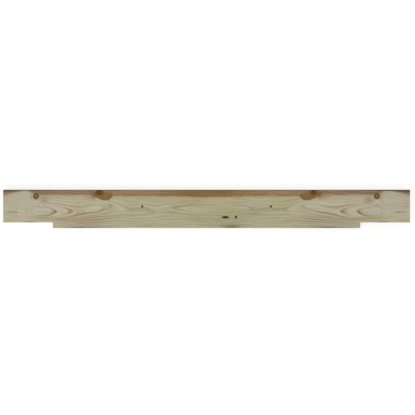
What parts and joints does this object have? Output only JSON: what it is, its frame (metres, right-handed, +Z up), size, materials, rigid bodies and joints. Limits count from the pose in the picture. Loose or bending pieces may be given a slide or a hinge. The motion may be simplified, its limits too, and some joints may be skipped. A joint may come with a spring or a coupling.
{
  "type": "notched timber plank",
  "caption": "Planed, pressure-treated softwood plank with eased long edges and a shallow notch sawn out of the lower corner at each end, so that it seats on bearers or posts.",
  "frame": {"origin": "middle of the broad face that the plank lies on", "axes": "+X along the length and the grain, +Y across the broad face towards the un-notched edge, +Z up through the thickness"},
  "size_m": [1.8, 0.17, 0.045],
  "materials": {
    "treated_softwood": "planed and pressure treated, matt"
  },
  "bodies": {
    "root": {"plank": "treated_softwood"}
  },
  "joints": []
}
